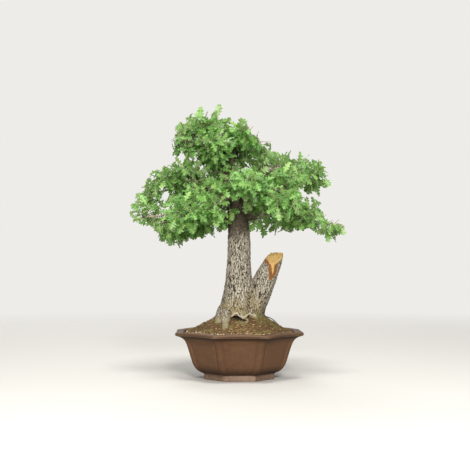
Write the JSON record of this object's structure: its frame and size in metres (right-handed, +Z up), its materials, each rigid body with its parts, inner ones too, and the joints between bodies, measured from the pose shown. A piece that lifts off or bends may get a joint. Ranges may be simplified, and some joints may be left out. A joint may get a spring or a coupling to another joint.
{
  "type": "downy oak bonsai in a pot",
  "caption": "Downy oak bonsai with a thick leaning trunk, a broken second stem and a spreading lobed-leaf crown, in an unglazed eight-sided clay pot.",
  "frame": {"origin": "on the ground under the middle of the pot", "axes": "+Z up, -Y towards the front seen in the picture, +X to its right"},
  "size_m": [0.6255, 0.5251, 0.813],
  "materials": {
    "clay": "matte",
    "soil": "matte",
    "bark": "matte",
    "leaves": "satin",
    "screen": "matte"
  },
  "bodies": {
    "root": {"pot": "clay", "drain_screen_left": "screen", "drain_screen_right": "screen", "soil": "soil", "trunk_and_limbs": "bark", "spray_left_low_1": "leaves", "spray_left_low_2": "leaves", "spray_left_low_3": "leaves", "spray_left_low_4": "leaves", "spray_left_low_5": "leaves", "spray_left_mid_1": "leaves", "spray_left_mid_2": "leaves", "spray_left_mid_3": "leaves", "spray_left_mid_4": "leaves", "spray_left_front_1": "leaves", "spray_left_front_2": "leaves", "spray_left_front_3": "leaves", "spray_left_front_4": "leaves", "spray_right_low_1": "leaves", "spray_right_low_2": "leaves", "spray_right_low_3": "leaves", "spray_right_low_4": "leaves", "spray_right_low_5": "leaves", "spray_right_mid_1": "leaves", "spray_right_mid_2": "leaves", "spray_right_mid_3": "leaves", "spray_right_mid_4": "leaves", "spray_right_front_1": "leaves", "spray_right_front_2": "leaves", "spray_right_front_3": "leaves", "spray_right_front_4": "leaves", "spray_back_low_1": "leaves", "spray_back_low_2": "leaves", "spray_back_low_3": "leaves", "spray_back_left_1": "leaves", "spray_back_left_2": "leaves", "spray_back_left_3": "leaves", "spray_back_right_1": "leaves", "spray_back_right_2": "leaves", "spray_back_right_3": "leaves", "spray_top_right_1": "leaves", "spray_top_right_2": "leaves", "spray_top_right_3": "leaves", "spray_top_left_1": "leaves", "spray_top_left_2": "leaves", "spray_top_left_3": "leaves", "spray_apex_1": "leaves", "spray_apex_2": "leaves", "spray_apex_3": "leaves", "spray_apex_4": "leaves", "spray_apex_tip": "leaves"}
  },
  "joints": []
}
